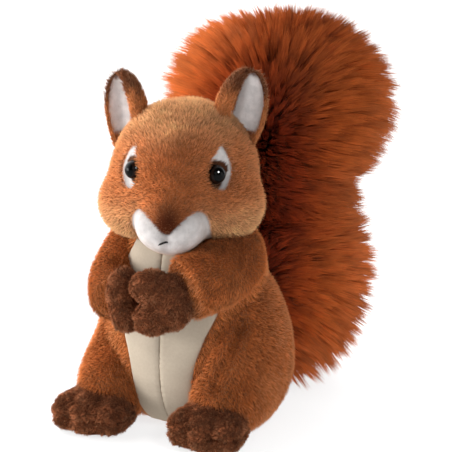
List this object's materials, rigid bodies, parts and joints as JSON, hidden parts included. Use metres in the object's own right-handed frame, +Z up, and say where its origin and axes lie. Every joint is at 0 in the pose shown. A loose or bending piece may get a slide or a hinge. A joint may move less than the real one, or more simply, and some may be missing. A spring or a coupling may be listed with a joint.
{
  "type": "plush squirrel toy",
  "caption": "Sitting stuffed plush squirrel with rust-brown fur, cream belly, dark paws and feet, white muzzle, bead eyes and a tall bushy tail of long pile.",
  "frame": {"origin": "on the floor at the middle of the torso's flat seat", "axes": "+Z up, -Y the way the body faces, +X to the animal's left; the head is turned 12 degrees to the left"},
  "size_m": [0.1341, 0.2199, 0.198],
  "materials": {
    "rust_plush": "short plush pile",
    "dark_plush": "short curly plush pile",
    "cream_velour": "smooth velour",
    "white_plush": "very short plush pile",
    "tail_pile": "long brushed pile",
    "bead_eye": "glossy",
    "mouth_thread": "embroidery thread"
  },
  "bodies": {
    "root": {"head": "rust_plush", "muzzle": "white_plush", "mouth_stitch": "mouth_thread", "eye_left": "bead_eye", "eye_right": "bead_eye", "eye_patch_left": "white_plush", "eye_patch_right": "white_plush", "ear_left": "rust_plush", "ear_right": "rust_plush", "ear_lining_left": "white_plush", "ear_lining_right": "white_plush", "torso": "rust_plush", "belly_left": "cream_velour", "belly_right": "cream_velour", "thigh_left": "rust_plush", "thigh_right": "rust_plush", "foot_left": "dark_plush", "foot_right": "dark_plush", "arm_left": "rust_plush", "arm_right": "rust_plush", "paw_left": "dark_plush", "paw_right": "dark_plush", "tail_lower": "tail_pile", "tail_middle": "tail_pile", "tail_tip": "tail_pile"}
  },
  "joints": []
}
